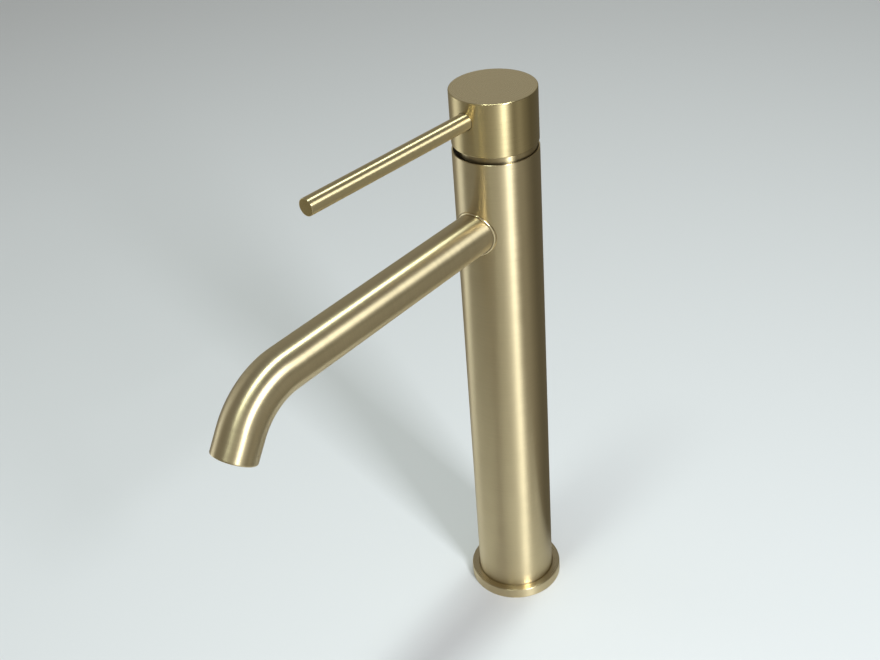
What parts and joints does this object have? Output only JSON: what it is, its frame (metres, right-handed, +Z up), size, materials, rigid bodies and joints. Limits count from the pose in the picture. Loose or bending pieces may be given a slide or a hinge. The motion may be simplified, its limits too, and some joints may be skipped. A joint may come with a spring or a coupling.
{
  "type": "bathroom mixer faucet",
  "caption": "Tall deck-mounted basin mixer: tubular column, level spout with a down-turned end, and a cylindrical cap with a thin rod lever that turns and lifts.",
  "frame": {"origin": "on the column's axis at the deck's top surface, where the foot rests", "axes": "+Z up the column; the spout and the lever point towards -Y, where the user stands; +X is on the right of the user, who faces +Y"},
  "size_m": [0.0508, 0.22, 0.3551],
  "materials": {
    "brushed_gold": "brushed satin gold coating on brass",
    "dark_gold": "satin, darker gold",
    "raw_brass": "machined",
    "copper": "drawn copper tube",
    "steel": "turned steel",
    "ceramic": "lapped",
    "white_plastic": "moulded",
    "grey_plastic": "moulded",
    "black_rubber": "matt"
  },
  "bodies": {
    "root": {"column_body": "brushed_gold", "base_flange": "brushed_gold", "base_gasket": "black_rubber", "base_plug": "raw_brass", "hot_riser_pipe": "copper", "cold_riser_pipe": "copper", "hot_riser_lower_o_ring": "black_rubber", "hot_riser_upper_o_ring": "black_rubber", "cold_riser_lower_o_ring": "black_rubber", "cold_riser_upper_o_ring": "black_rubber", "mounting_stud": "steel", "rubber_horseshoe": "black_rubber", "clamp_horseshoe": "steel", "mounting_nut": "raw_brass", "valve_body": "raw_brass", "spout_tube": "brushed_gold", "spout_collar": "brushed_gold", "spout_connector": "raw_brass", "spout_o_ring": "black_rubber", "aerator_housing": "dark_gold", "aerator_core": "white_plastic", "aerator_screen": "steel", "aerator_washer": "black_rubber", "cartridge_base": "white_plastic", "hot_port_seal": "black_rubber", "cold_port_seal": "black_rubber", "outlet_port_seal": "black_rubber", "fixed_ceramic_disc": "ceramic", "cartridge_housing": "grey_plastic", "cartridge_nut": "raw_brass", "bonnet_ring": "dark_gold"},
    "turning_rotor": {"cartridge_rotor": "white_plastic", "pivot_pin": "steel"},
    "handle": {"lever_spindle": "raw_brass", "handle_cap": "brushed_gold", "lever_rod": "brushed_gold", "grub_screw": "steel"},
    "sliding_disc": {"disc_carrier": "grey_plastic", "moving_ceramic_disc": "ceramic"}
  },
  "joints": [
    {"name": "handle_turn", "type": "hinge", "parent": "root", "child": "turning_rotor", "pos_m": [0, 0, 0.265], "axis": [0, 0, 1], "range_deg": [-41.2, 48.8]},
    {"name": "handle_lift", "type": "hinge", "parent": "turning_rotor", "child": "handle", "pos_m": [0, 0, 0.265], "axis": [-0.9978, 0.0663, 0], "range_deg": [0, 22]},
    {"name": "disc_slide", "type": "slide", "parent": "turning_rotor", "child": "sliding_disc", "axis": [-0.0663, -0.9978, 0], "range_m": [0, 0.00174]}
  ],
  "couplings": [
    {"joint": "disc_slide", "follows": "handle_lift", "m_per_rad": 0.0045}
  ]
}
